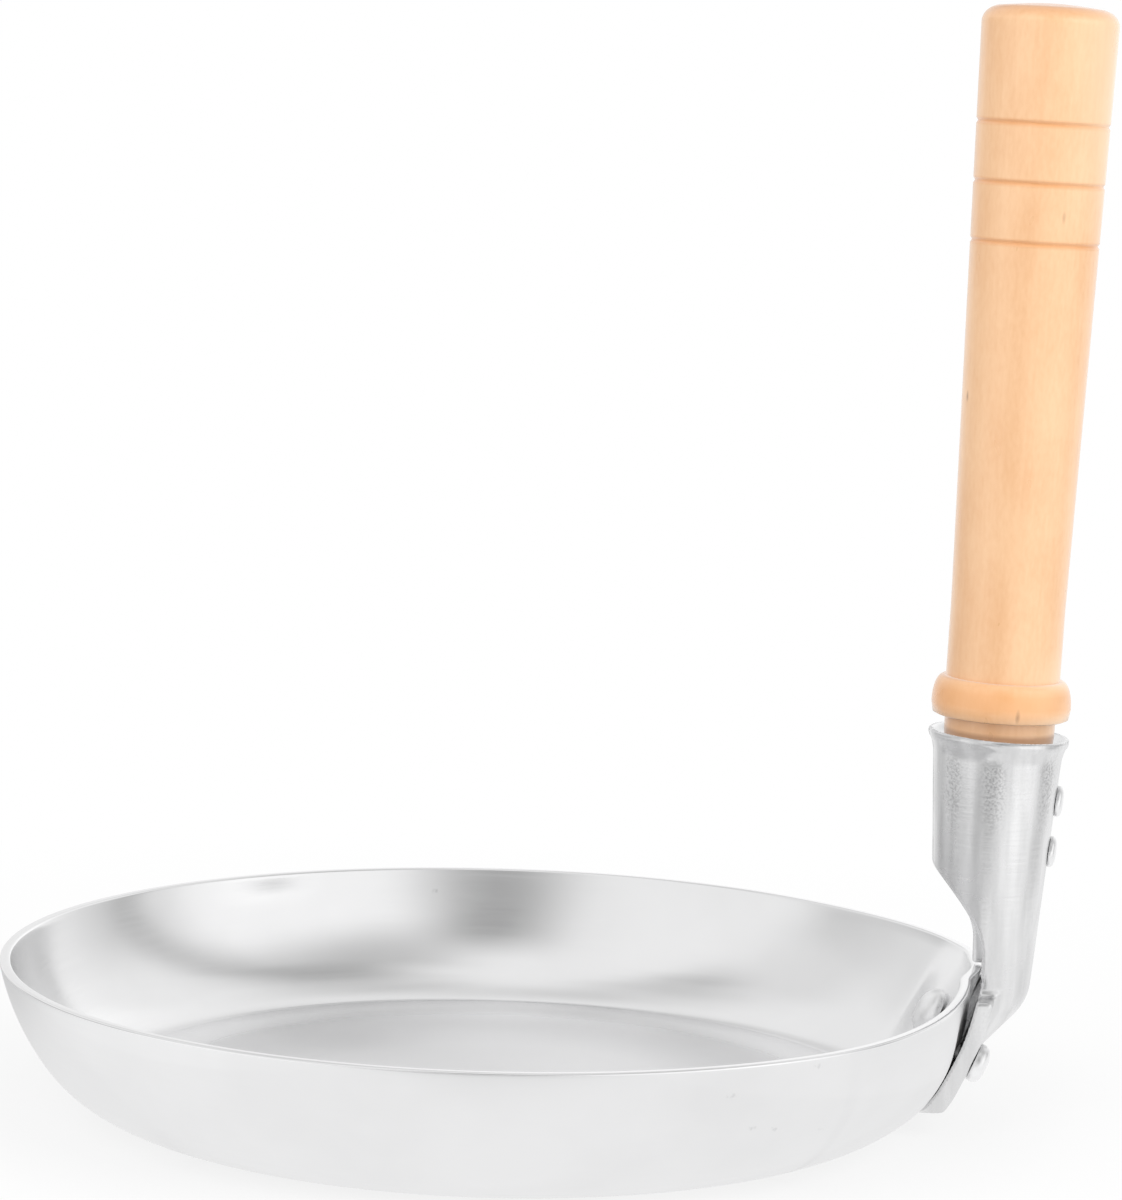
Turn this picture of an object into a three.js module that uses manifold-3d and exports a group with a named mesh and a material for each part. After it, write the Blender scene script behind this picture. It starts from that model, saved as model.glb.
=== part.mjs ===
// Small egg pan: a shallow round aluminium dish with an upright turned wooden handle.
// The handle sits in a pressed aluminium bracket that two rivets hold to the dish wall.
// Millimetres, +Z up. The dish rests on Z = 0 with its axis on Z, and the handle stands on +X.
import * as THREE from 'three';
import { mergeVertices } from 'three/addons/utils/BufferGeometryUtils.js';
import Module from 'manifold-3d';

const wasm = await Module();
wasm.setup();

const rad = THREE.MathUtils.degToRad;
const smooth = THREE.MathUtils.smoothstep;

// Gap left between neighbouring pieces
const clearance = 0.3;

// Dish: flat base, tight corner, then a gently curved wall up to a rounded rim
const rimDiameter = 165;
const wallHeight = 23.8;
const wallThickness = 1.8;
const cornerRadius = 20.8;
const cornerSweep = rad(53.3);
const rimSlope = rad(77.2);
const rimRounding = 0.6;
const floorDishRadius = 52;
const floorCreaseSlope = rad(21);
const dishSegments = 144;
const bracketSideCrowding = 0.65;

// The wall is pressed in where the bracket is riveted on, unevenly on its two sides
const seatPress = 1.3;
const seatPressFrom = 3;
const seatPressTo = 14;
const seatTopPress = 0.75;
const seatTopFrom = 12;
const seatTopTo = 23;
const seatHalfAngle = rad(13);
const seatFadeAngle = rad(21);
const farSeatPress = 1.7;
const farSeatFreeFrom = 16;
const farSeatFreeShare = 0.15;
const farSeatFrom = rad(-5);
const farSeatTo = rad(4);

// A crease in the wall beside the near edge of the bracket's tongue
const creasePress = 0.9;
const creaseAngle = rad(-13.5);
const creaseFadeAngle = rad(6);
const creaseOuterFadeAngle = rad(24);
const creaseFrom = 8;
const creaseTo = 20;

// The rim is bent in beside the bracket on the near side, and swells out on the far side
const rimDent = 3.4;
const rimDentStart = rad(6.8);
const rimDentFull = rad(-4.5);
const rimDentHold = rad(-10);
const rimDentEnd = rad(-52);
const rimSwell = 1.75;
const rimSwellStart = rad(5.5);
const rimSwellFull = rad(15);
const rimSwellHold = rad(19);
const rimSwellEnd = rad(46);
const rimBendFrom = 12;

// Handle axis: where it passes the rim, and how far it leans outward
const axisInsideRim = 1.3;
const handleLean = rad(1.73);

// Bracket: a tapered socket, open below as a channel, ending in a rounded toe
const socketRise = 40.8;
const socketRadius = 10.9;
const socketTaper = 0.0645;
const socketSheet = 1.6;
const lipRadius = 11.5;
const lipLength = 4;
const seamWidth = 0.8;
const frontCutRise = 18.9;
const frontCutStraight = 4.2;
const frontCutEase = 5;
const frontCutSlant = 5.5;
const frontCutAngle = rad(49);
const frontCutReach = 9.4;
const channelEdgeSetback = 0.8;
const toeHeight = 20.4;
const toeSlope = 0.95;
const toeBend = 9;
const toeEnd = 7;
const toeTipHalfWidth = 5;
const socketSegments = 36;

// Tongue of the bracket: a plate that follows the dish wall below the rim
const tongueHalfWidth = 16.2;
const tongueSheet = 2.6;
const tongueTop = 23;
const tongueBottom = 4.2;
const tongueCorner = 1;

// Rivets through the tongue and the dish wall
const rivetOffset = 12.6;
const rivetHeight = 13.9;
const rivetShankRadius = 2;
const innerHeadRadius = 4;
const innerHeadHeight = 2.8;
const outerHeadRadius = 3.2;
const outerHeadHeight = 1.9;
const rivetSegments = 20;

// Nails through the back of the socket into the handle
const nailDropUpper = 11.3;
const nailDropLower = 19.8;
const nailShankRadius = 1.2;
const nailDepth = 6;
const nailHeadRadius = 2.6;
const nailHeadHeight = 1.05;
const nailSegments = 16;

// Turned handle, measured along its own axis from the socket's lip
const tenonLength = 22.3;
const neckRadius = 9.15;
const neckLength = 2.75;
const beadRadius = 11.55;
const beadLength = 6.5;
const gripLength = 110.95;
const gripWaistRadius = 9.45;
const gripEndRadius = 11.25;
const gripWaistLength = 12;
const endRounding = 3.4;
const endDome = 0.6;
const grooveFromEnd = 19.5;
const grooveSpacing = 9.7;
const grooveCount = 3;
const grooveWidth = 0.9;
const grooveDepth = 0.4;
const handleSegments = 40;

// Dish curves worked out from the driving sizes
const rimRadius = rimDiameter / 2;
const cornerRise = cornerRadius * (1 - Math.cos(cornerSweep));
const upperRadius = (wallHeight - cornerRise) / (Math.cos(cornerSweep) - Math.cos(rimSlope));
const cornerEnd = rimRadius - upperRadius * (Math.sin(rimSlope) - Math.sin(cornerSweep));
const baseRadius = cornerEnd - cornerRadius * Math.sin(cornerSweep);
const rimTop = wallHeight + wallThickness * Math.cos(rimSlope) / 2 + rimRounding * Math.sin(rimSlope);

// Slope of the outer wall at a height, from level at the base to rimSlope at the top
function wallSlope(z) {
  const height = THREE.MathUtils.clamp(z, 0, wallHeight);
  if (height <= cornerRise) {
    return Math.acos(1 - height / cornerRadius);
  }
  return Math.acos(Math.cos(cornerSweep) - (height - cornerRise) / upperRadius);
}

// A point on the wall at a slope, moved inward from the outer face
function wallPoint(slope, inward) {
  const arc = slope <= cornerSweep ? cornerRadius : upperRadius;
  const radius = slope <= cornerSweep
    ? baseRadius + arc * Math.sin(slope)
    : cornerEnd + arc * (Math.sin(slope) - Math.sin(cornerSweep));
  const height = slope <= cornerSweep
    ? arc * (1 - Math.cos(slope))
    : cornerRise + arc * (Math.cos(cornerSweep) - Math.cos(slope));
  return new THREE.Vector2(radius - inward * Math.sin(slope), height + inward * Math.cos(slope));
}

function wallRadius(z) {
  return wallPoint(wallSlope(z), 0).x;
}

// How far the bracket's seat is pressed into the wall; on its far side it fades toward the rim
function seatDepth(angle, z) {
  const foot = smooth(z, seatPressFrom, seatPressTo);
  const near = seatPress * foot + seatTopPress * smooth(z, seatTopFrom, seatTopTo);
  const freed = THREE.MathUtils.lerp(1, farSeatFreeShare, smooth(z, farSeatFreeFrom, wallHeight));
  const far = farSeatPress * foot * freed;
  return THREE.MathUtils.lerp(near, far, smooth(angle, farSeatFrom, farSeatTo));
}

// How far the rim itself is bent in at an angle; below zero it swells out
function rimBend(angle) {
  const dent = smooth(-angle, -rimDentStart, -rimDentFull) * (1 - smooth(-angle, -rimDentHold, -rimDentEnd));
  const swell = smooth(angle, rimSwellStart, rimSwellFull) * (1 - smooth(angle, rimSwellHold, rimSwellEnd));
  return rimDent * dent - rimSwell * swell;
}

// How far the wall is pressed in at an angle from +X and a height
function wallDent(angle, z) {
  const seat = 1 - smooth(Math.abs(angle), seatHalfAngle, seatFadeAngle);
  const aside = angle - creaseAngle;
  const spread = aside > 0 ? creaseFadeAngle : creaseOuterFadeAngle;
  const crease = creasePress * (1 - smooth(Math.abs(aside), 0, spread));
  const pressed = seat * seatDepth(angle, z) + crease * smooth(z, creaseFrom, creaseTo);
  const atRim = rimBend(angle) - seat * seatDepth(angle, wallHeight) - crease;
  const rise = THREE.MathUtils.clamp((z - rimBendFrom) / (wallHeight - rimBendFrom), 0, 1);
  return pressed + atRim * rise ** 2;
}

// The tongue lies in the seat, and keeps clear of the wall where that stands further out
function tongueDepth(angle, z) {
  return Math.min(seatDepth(angle, z), wallDent(angle, z));
}

function axisX(z) {
  return rimRadius - axisInsideRim + (z - rimTop) * Math.tan(handleLean);
}

const socketTop = rimTop + socketRise;

function socketRadiusAt(z) {
  const cone = socketRadius - (socketTop - z) * socketTaper;
  const flare = smooth(z, socketTop - lipLength, socketTop);
  return cone + (lipRadius - socketRadius) * flare;
}

// Solids

function toSolid(geometry) {
  const bare = geometry.clone();
  bare.deleteAttribute('normal');
  bare.deleteAttribute('uv');
  const merged = mergeVertices(bare, 1e-4);
  const corners = Array.from(merged.index.array);
  const kept = [];
  for (let i = 0; i < corners.length; i += 3) {
    const [a, b, c] = corners.slice(i, i + 3);
    if (a !== b && b !== c && c !== a) {
      kept.push(a, b, c);
    }
  }
  return new wasm.Manifold(new wasm.Mesh({
    numProp: 3,
    vertProperties: new Float32Array(merged.attributes.position.array),
    triVerts: new Uint32Array(kept),
  }));
}

function toGeometry(solid) {
  const mesh = solid.getMesh();
  const geometry = new THREE.BufferGeometry();
  geometry.setAttribute('position', new THREE.BufferAttribute(new Float32Array(mesh.vertProperties), 3));
  geometry.setIndex(new THREE.BufferAttribute(new Uint32Array(mesh.triVerts), 1));
  geometry.computeVertexNormals();
  return geometry;
}

// A turned solid about Z, from its outline as radius and height
function turned(outline, segments) {
  const points = outline.map(([radius, height]) => new THREE.Vector2(radius, height));
  const geometry = new THREE.LatheGeometry(points, segments);
  geometry.rotateX(Math.PI / 2);
  return geometry;
}

// Moves every point of a turned shape toward the axis by a depth that depends on where it is
function pressedIn(geometry, depthAt) {
  const position = geometry.attributes.position;
  for (let i = 0; i < position.count; i += 1) {
    const x = position.getX(i);
    const y = position.getY(i);
    const even = Math.atan2(y, x);
    const angle = even - bracketSideCrowding * Math.sin(even);
    const radius = Math.hypot(x, y);
    if (radius > clearance) {
      const pressed = radius - depthAt(angle, position.getZ(i));
      position.setXY(i, pressed * Math.cos(angle), pressed * Math.sin(angle));
    }
  }
  return geometry;
}

// A solid from rings stacked upward; each ring is an ellipse at a height
function stacked(rings, segments) {
  const points = [];
  for (const { z, x, halfX, halfY } of rings) {
    for (let k = 0; k < segments; k += 1) {
      const turn = 2 * Math.PI * k / segments;
      points.push(x + halfX * Math.cos(turn), halfY * Math.sin(turn), z);
    }
  }
  const faces = [];
  for (let i = 0; i < rings.length - 1; i += 1) {
    for (let k = 0; k < segments; k += 1) {
      const next = (k + 1) % segments;
      const low = i * segments;
      const high = low + segments;
      faces.push(low + k, low + next, high + next, low + k, high + next, high + k);
    }
  }
  const top = (rings.length - 1) * segments;
  for (let k = 1; k < segments - 1; k += 1) {
    faces.push(0, k + 1, k, top, top + k, top + k + 1);
  }
  const geometry = new THREE.BufferGeometry();
  geometry.setAttribute('position', new THREE.Float32BufferAttribute(points, 3));
  geometry.setIndex(faces);
  return geometry;
}

// A block between two corners
function block(low, high) {
  const size = new THREE.Vector3().subVectors(high, low);
  const geometry = new THREE.BoxGeometry(size.x, size.y, size.z);
  geometry.translate((low.x + high.x) / 2, (low.y + high.y) / 2, (low.z + high.z) / 2);
  return geometry;
}

// Dish

function dishGeometry() {
  const outline = [[0, 0]];
  const outerSteps = 5;
  for (let i = 0; i <= outerSteps; i += 1) {
    const point = wallPoint(cornerSweep * i / outerSteps, 0);
    outline.push([point.x, point.y]);
  }
  for (let i = 1; i <= outerSteps; i += 1) {
    const point = wallPoint(cornerSweep + (rimSlope - cornerSweep) * i / outerSteps, 0);
    outline.push([point.x, point.y]);
  }
  const rimMiddle = wallPoint(rimSlope, wallThickness / 2);
  const rimSteps = 4;
  for (let i = 1; i < rimSteps; i += 1) {
    const turn = Math.PI * i / rimSteps;
    const across = wallThickness / 2 * Math.cos(turn);
    const along = rimRounding * Math.sin(turn);
    outline.push([
      rimMiddle.x + across * Math.sin(rimSlope) + along * Math.cos(rimSlope),
      rimMiddle.y - across * Math.cos(rimSlope) + along * Math.sin(rimSlope),
    ]);
  }
  const innerSteps = 8;
  for (let i = innerSteps; i >= 0; i -= 1) {
    const slope = floorCreaseSlope + (rimSlope - floorCreaseSlope) * i / innerSteps;
    const point = wallPoint(slope, wallThickness);
    outline.push([point.x, point.y]);
  }
  outline.push([floorDishRadius, wallThickness], [0, wallThickness]);

  return pressedIn(turned(outline, dishSegments), wallDent);
}

// Rivets

function rivetAngle(side) {
  return side * Math.asin(rivetOffset / wallRadius(rivetHeight));
}

// Places a shape drawn along +Z from the dish wall so that it points squarely out of the wall
function placeOnWall(geometry, side) {
  const angle = rivetAngle(side);
  geometry.rotateY(Math.PI - wallSlope(rivetHeight));
  geometry.translate(wallRadius(rivetHeight) - tongueDepth(angle, rivetHeight), 0, rivetHeight);
  geometry.rotateZ(angle);
  return geometry;
}

// Gap under the inner head, enough to clear the curved and pressed wall all round its edge
function innerHeadGap(side) {
  const underside = [[0, -wallThickness], [innerHeadRadius, -wallThickness]];
  const edge = placeOnWall(turned(underside, rivetSegments), side);
  const position = edge.attributes.position;
  let intrusion = 0;
  for (let i = 0; i < position.count; i += 1) {
    const x = position.getX(i);
    const y = position.getY(i);
    const z = position.getZ(i);
    const slope = wallSlope(z - wallThickness * Math.cos(wallSlope(z)));
    const face = wallPoint(slope, wallThickness).x - wallDent(Math.atan2(y, x), z);
    intrusion = Math.max(intrusion, (Math.hypot(x, y) - face) * Math.sin(slope));
  }
  return clearance + intrusion;
}

// Outline of a domed head that grows from its flat underside
function domedHead(radius, height, underside, outward, steps) {
  const outline = [];
  for (let i = 0; i <= steps; i += 1) {
    const turn = Math.PI / 2 * i / steps;
    const round = Math.cos(turn) ** 0.7;
    outline.push([i === steps ? 0 : radius * round, underside + outward * height * Math.sin(turn)]);
  }
  return outline;
}

function rivetGeometry(side) {
  const innerUnderside = -wallThickness - innerHeadGap(side);
  const outerUnderside = tongueSheet + 3 * clearance;
  const inner = domedHead(innerHeadRadius, innerHeadHeight, innerUnderside, -1, 5).reverse();
  const outer = domedHead(outerHeadRadius, outerHeadHeight, outerUnderside, 1, 4);
  const outline = [
    ...inner,
    [rivetShankRadius, innerUnderside],
    [rivetShankRadius, outerUnderside],
    ...outer,
  ];
  return placeOnWall(turned(outline, rivetSegments), side);
}

function rivetHole(side) {
  const reach = tongueSheet + wallThickness + outerHeadHeight;
  const radius = rivetShankRadius + clearance;
  const outline = [[0, -reach], [radius, -reach], [radius, reach], [0, reach]];
  return toSolid(placeOnWall(turned(outline, rivetSegments), side));
}

// Bracket

// Back of the channel in side view: the socket's cone, a bend, then the slanting toe
function backLine() {
  const coneLean = socketTaper + Math.tan(handleLean);
  const coneBack = (z) => axisX(z) + socketRadiusAt(z);
  const coneAngle = Math.atan(coneLean);
  const toeAngle = Math.atan(toeSlope);
  const setback = toeBend * Math.tan((toeAngle - coneAngle) / 2);
  const bendTop = toeHeight + setback * Math.cos(coneAngle);
  const centre = new THREE.Vector2(
    coneBack(bendTop) - toeBend * Math.cos(coneAngle),
    bendTop + toeBend * Math.sin(coneAngle),
  );
  const line = [];
  const coneSteps = 5;
  const lipSteps = 4;
  const toeSteps = 5;
  for (let i = 0; i <= lipSteps; i += 1) {
    const z = socketTop - lipLength * i / lipSteps;
    line.push({ z, x: coneBack(z), normal: coneAngle });
  }
  for (let i = 1; i <= coneSteps; i += 1) {
    const z = THREE.MathUtils.lerp(socketTop - lipLength, bendTop, i / coneSteps);
    line.push({ z, x: coneBack(z), normal: coneAngle });
  }
  for (let i = 1; i <= toeSteps; i += 1) {
    const normal = THREE.MathUtils.lerp(coneAngle, toeAngle, i / toeSteps);
    line.push({
      z: centre.y - toeBend * Math.sin(normal),
      x: centre.x + toeBend * Math.cos(normal),
      normal,
    });
  }
  const bendEnd = line[line.length - 1];
  for (let i = 1; i <= toeSteps; i += 1) {
    const z = THREE.MathUtils.lerp(bendEnd.z, toeEnd, i / toeSteps);
    line.push({ z, x: bendEnd.x - toeSlope * (bendEnd.z - z), normal: toeAngle });
  }
  return line;
}

// Rings of the socket, channel and toe, set in from their outer face by a sheet thickness
function channelRings(inset) {
  const rings = [];
  for (const { z, x, normal } of backLine()) {
    const height = z + inset * Math.sin(normal);
    const back = x - inset * Math.cos(normal);
    const seat = height < rimTop ? wallRadius(height) - seatDepth(0, height) : axisX(height);
    const middle = Math.min(axisX(height), seat);
    const toeShare = smooth(height, toeEnd, toeHeight);
    const width = THREE.MathUtils.lerp(toeTipHalfWidth, socketRadiusAt(height), toeShare) - inset;
    if (back - middle > clearance) {
      rings.push({ z: height, x: middle, halfX: back - middle, halfY: width });
    }
  }
  if (inset > 0) {
    const last = rings[0];
    rings.unshift({ ...last, z: socketTop + socketSheet });
  }
  return rings.reverse();
}

// The tongue's plate, as the wall's curve revolved and then trimmed to its width
function tongueSolid() {
  const inner = [];
  const outer = [];
  const steps = 8;
  for (let i = 0; i <= steps; i += 1) {
    const z = THREE.MathUtils.lerp(tongueBottom, tongueTop, i / steps);
    const slope = wallSlope(z);
    const across = tongueSheet / Math.sin(slope);
    const corner = i === 0 ? tongueCorner : 0;
    inner.push([wallRadius(z) + clearance, z]);
    outer.push([wallRadius(z) + clearance + across - corner, z]);
  }
  const first = outer[0];
  outer.splice(1, 0, [first[0] + tongueCorner, first[1] + tongueCorner]);
  const outline = [...outer, ...inner.reverse(), outer[0]];
  const ring = toSolid(pressedIn(turned(outline, dishSegments), tongueDepth));
  const trim = block(
    new THREE.Vector3(0, -tongueHalfWidth, 0),
    new THREE.Vector3(2 * rimRadius, tongueHalfWidth, socketTop),
  );
  return ring.intersect(toSolid(trim));
}

// Space taken up by the dish, as far as the bracket is concerned
function dishSpace() {
  const outline = [[0, -clearance]];
  const steps = 14;
  for (let i = 0; i <= steps; i += 1) {
    const z = wallHeight * i / steps;
    outline.push([wallRadius(z) + clearance, z]);
  }
  outline.push([rimRadius + clearance, rimTop + clearance], [0, rimTop + clearance]);
  return toSolid(pressedIn(turned(outline, dishSegments), tongueDepth));
}

// The socket's front is cut away below, from its lower end back to the channel's edges
function frontCut() {
  const top = rimTop + frontCutRise;
  const axis = axisX(rimTop);
  const outline = new THREE.Shape();
  outline.moveTo(axis - 2 * lipRadius, rimTop);
  outline.lineTo(axis - channelEdgeSetback, rimTop);
  outline.lineTo(axis - channelEdgeSetback, rimTop + frontCutStraight);
  outline.bezierCurveTo(
    axis - channelEdgeSetback,
    rimTop + frontCutStraight + frontCutEase,
    axis - frontCutReach + frontCutSlant * Math.cos(frontCutAngle),
    top - frontCutSlant * Math.sin(frontCutAngle),
    axis - frontCutReach,
    top,
  );
  outline.lineTo(axis - 2 * lipRadius, top);
  const geometry = new THREE.ExtrudeGeometry(outline, {
    depth: 4 * lipRadius,
    bevelEnabled: false,
    curveSegments: 12,
  });
  geometry.translate(0, 0, -2 * lipRadius);
  geometry.rotateX(Math.PI / 2);
  return toSolid(geometry);
}

// Nails stand square to the back of the socket
function placeOnSocket(geometry, drop) {
  const z = socketTop - drop;
  const lean = Math.atan(socketTaper + Math.tan(handleLean));
  geometry.rotateY(Math.PI / 2 + lean);
  geometry.translate(axisX(z) + socketRadiusAt(z), 0, z);
  return geometry;
}

function nailGeometry(drop) {
  const outline = [
    [0, -socketSheet - nailDepth],
    [nailShankRadius, -socketSheet - nailDepth + nailShankRadius],
    [nailShankRadius, clearance],
    ...domedHead(nailHeadRadius, nailHeadHeight, clearance, 1, 4),
  ];
  return placeOnSocket(turned(outline, nailSegments), drop);
}

function nailHole(drop) {
  const radius = nailShankRadius + clearance;
  const depth = socketSheet + nailDepth + clearance;
  const outline = [[0, -depth], [radius, -depth], [radius, nailDepth], [0, nailDepth]];
  return toSolid(placeOnSocket(turned(outline, nailSegments), drop));
}

function bracketSolid() {
  const seam = block(
    new THREE.Vector3(axisX(socketTop) - 2 * lipRadius, -seamWidth / 2, rimTop),
    new THREE.Vector3(axisX(rimTop), seamWidth / 2, socketTop + socketSheet),
  );
  let solid = toSolid(stacked(channelRings(0), socketSegments)).add(tongueSolid());
  const cuts = [
    toSolid(stacked(channelRings(socketSheet), socketSegments)),
    dishSpace(),
    frontCut(),
    toSolid(seam),
    rivetHole(1),
    rivetHole(-1),
    nailHole(nailDropUpper),
    nailHole(nailDropLower),
  ];
  for (const cut of cuts) {
    solid = solid.subtract(cut);
  }
  return solid;
}

// Handle

function handleGeometry() {
  const outline = [[0, -tenonLength]];
  const tenonSteps = 6;
  for (let i = 0; i < tenonSteps; i += 1) {
    const height = -tenonLength * (1 - i / tenonSteps);
    outline.push([socketRadiusAt(socketTop + height) - socketSheet - clearance, height]);
  }
  outline.push([neckRadius, 0], [neckRadius, neckLength]);

  const beadSteps = 5;
  for (let i = 0; i <= beadSteps; i += 1) {
    const turn = Math.PI / 2 * i / beadSteps;
    outline.push([
      gripWaistRadius + (beadRadius - gripWaistRadius) * Math.cos(turn) ** 0.75,
      neckLength + beadLength * (0.3 + 0.7 * Math.sin(turn)),
    ]);
  }
  const beadFoot = beadRadius - (beadRadius - neckRadius) * 0.12;
  outline.splice(outline.length - beadSteps - 1, 0, [beadFoot, neckLength + 0.2]);

  const gripStart = neckLength + beadLength;
  const gripEnd = gripStart + gripLength;
  const taperEnd = gripEnd - endRounding;
  const gripRadius = (height) => THREE.MathUtils.lerp(
    gripWaistRadius,
    gripEndRadius,
    Math.max(0, height - gripStart - gripWaistLength) / (taperEnd - gripStart - gripWaistLength),
  );
  outline.push([gripWaistRadius, gripStart + gripWaistLength]);
  for (let i = grooveCount - 1; i >= 0; i -= 1) {
    const middle = gripEnd - grooveFromEnd - grooveSpacing * i;
    outline.push([gripRadius(middle - grooveWidth / 2), middle - grooveWidth / 2]);
    outline.push([gripRadius(middle) - grooveDepth, middle]);
    outline.push([gripRadius(middle + grooveWidth / 2), middle + grooveWidth / 2]);
  }
  const endSteps = 5;
  for (let i = 0; i <= endSteps; i += 1) {
    const turn = Math.PI / 2 * i / endSteps;
    outline.push([
      gripEndRadius - endRounding * (1 - Math.cos(turn)),
      taperEnd + (endRounding - endDome) * Math.sin(turn),
    ]);
  }
  outline.push([0, gripEnd]);

  const geometry = turned(outline, handleSegments);
  geometry.rotateY(handleLean);
  geometry.translate(axisX(socketTop), 0, socketTop);
  return geometry;
}

// Assembly

const brightAluminium = new THREE.MeshStandardMaterial({ color: 0xdcdddd, roughness: 0.22, metalness: 1 });
const satinAluminium = new THREE.MeshStandardMaterial({ color: 0xd2d3d3, roughness: 0.42, metalness: 1 });
const rivetAluminium = new THREE.MeshStandardMaterial({ color: 0xdedede, roughness: 0.3, metalness: 1 });
const lacqueredWood = new THREE.MeshStandardMaterial({ color: 0xf6c58f, roughness: 0.35, metalness: 0 });

const pan = new THREE.Group();
pan.name = 'egg_pan';

function addPiece(name, geometry, material) {
  const mesh = new THREE.Mesh(geometry, material);
  mesh.name = name;
  pan.add(mesh);
}

const dish = toSolid(dishGeometry()).subtract(rivetHole(1)).subtract(rivetHole(-1));
const handle = toSolid(handleGeometry())
  .subtract(nailHole(nailDropUpper))
  .subtract(nailHole(nailDropLower));

addPiece('pan_bowl', toGeometry(dish), brightAluminium);
addPiece('handle_bracket', toGeometry(bracketSolid()), satinAluminium);
addPiece('pan_rivet_near', toGeometry(toSolid(rivetGeometry(-1))), rivetAluminium);
addPiece('pan_rivet_far', toGeometry(toSolid(rivetGeometry(1))), rivetAluminium);
addPiece('wooden_handle', toGeometry(handle), lacqueredWood);
addPiece('handle_nail_upper', toGeometry(toSolid(nailGeometry(nailDropUpper))), rivetAluminium);
addPiece('handle_nail_lower', toGeometry(toSolid(nailGeometry(nailDropLower))), rivetAluminium);

export default pan;
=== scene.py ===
import math

import bpy
import numpy as np
from mathutils import Matrix, Vector


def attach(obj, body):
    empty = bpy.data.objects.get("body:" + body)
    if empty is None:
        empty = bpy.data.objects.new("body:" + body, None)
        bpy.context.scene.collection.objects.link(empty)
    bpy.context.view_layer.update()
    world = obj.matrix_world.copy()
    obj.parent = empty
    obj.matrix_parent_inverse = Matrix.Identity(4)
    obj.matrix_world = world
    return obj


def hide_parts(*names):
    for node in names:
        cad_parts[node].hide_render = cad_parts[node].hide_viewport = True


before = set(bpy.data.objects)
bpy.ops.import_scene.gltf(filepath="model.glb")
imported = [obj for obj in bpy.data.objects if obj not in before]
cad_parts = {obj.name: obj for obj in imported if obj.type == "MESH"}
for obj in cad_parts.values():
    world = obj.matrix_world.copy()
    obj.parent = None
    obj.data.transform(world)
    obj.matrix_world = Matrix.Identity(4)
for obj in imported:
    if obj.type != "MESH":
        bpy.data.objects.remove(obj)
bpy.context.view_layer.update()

# Sizes are in millimetres and are turned into metres when a mesh is made.
MM = 0.001

# Dish: flat base, tight corner, gently curved wall
RIM_RADIUS = 82.5
RIM_ALLOWANCE = 0.07
WALL_HEIGHT = 23.8
WALL_THICKNESS = 1.8
CORNER_RADIUS = 20.8
CORNER_SWEEP = math.radians(53.3)
RIM_SLOPE = math.radians(77.2)
RIM_ROUNDING = 0.6
RIM_SQUARENESS = 0.5
FLOOR_RADIUS = 52
FLOOR_CREASE_SLOPE = math.radians(21)
DISH_COLUMNS = 420
BRACKET_SIDE_CROWDING = 0.78
CORNER_STEPS = 26
UPPER_STEPS = 30
RIM_STEPS = 25
INNER_STEPS = 46

# Where the wall is pressed in for the bracket, creased beside it, and bent at the rim.
# Pairs are the heights, or the angles in degrees, between which each of these comes in.
SEAT_PRESS = 1.3
SEAT_FOOT = (3, 14)
SEAT_TOP_PRESS = 0.75
SEAT_TOP_RISE = (12, 23)
SEAT_EDGE = (13, 21)
SEAT_SIDES = (-5, 4)
FAR_SEAT_PRESS = 1.7
FAR_SEAT_FREE_SHARE = 0.15
FAR_SEAT_EASES_FROM = 16
CREASE_PRESS = 0.9
CREASE_RISE = (8, 20)
CREASE_ANGLE = math.radians(-13.5)
CREASE_FADE_ANGLE = math.radians(6)
CREASE_OUTER_FADE_ANGLE = math.radians(24)
RIM_DENT = 3.4
RIM_DENT_SPAN = (-6.8, 4.5, 10, 52)
RIM_SWELL = 1.75
RIM_SWELL_SPAN = (5.5, 15, 19, 46)
RIM_BEND_FROM = 12

# Handle axis
AXIS_INSIDE_RIM = 1.3
HANDLE_LEAN = math.radians(1.73)

# Bracket: socket, channel, toe and tongue
CLEARANCE = 0.3
MOUTH_TILT = 0.055
MOUTH_TILT_BELOW = (9, 3)
SOCKET_RISE = 40.8
SOCKET_RADIUS = 10.9
SOCKET_TAPER = 0.0645
SOCKET_SHEET = 1.6
LIP_RADIUS = 11.5
LIP_LENGTH = 4
LIP_SHEET = 1.0
LIP_THINNING = 2.2
LIP_BEAD = 0.25
LIP_BEAD_BELOW = (2, 1.2)
SEAM_WIDTH = 0.8
FRONT_CUT_RISE = 18.9
FRONT_CUT_STRAIGHT = 4.2
FRONT_CUT_EASE = 5
FRONT_CUT_SLANT = 5.5
FRONT_CUT_ANGLE = math.radians(49)
FRONT_CUT_REACH = 9.4
CHANNEL_EDGE_SETBACK = 0.8
TOE_HEIGHT = 20.4
TOE_SLOPE = 0.95
TOE_BEND = 9
TOE_END = 7
TOE_TIP_HALF_WIDTH = 5
HOLLOW_ABOVE_TOE = 3.5
TONGUE_HALF_WIDTH = 16.2
TONGUE_SHEET = 2.6
TONGUE_TOP = 23
TONGUE_ROOT_DROP = 0.8
TONGUE_ROOT_HALF_WIDTH = 8
TONGUE_BOTTOM = 4.2
HOLE_REACH = 8

# Rounds along the bracket's edges, and the fillet between tongue and channel
SHEET_ROUND = 0.5
TOP_ROUND = 0.7
TOE_ROUND = 1.5
SEAT_ROUND = 0.3
SEAM_ROUND = 0.2
ROOT_FILLET = 1.6

# Grid on which the bracket's surface is found
BRACKET_CELL = 0.36
BRACKET_INNERMOST = 66.4
BRACKET_MARGIN = (1.5, 1.3, 1.2)
SLOPE_PROBE = 0.05
LEAST_SLOPE = 0.2
UNTANGLE_ROUNDS = 6
UNTANGLED_DISTANCE = 0.001
SETTLE_ROUNDS = 3

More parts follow.
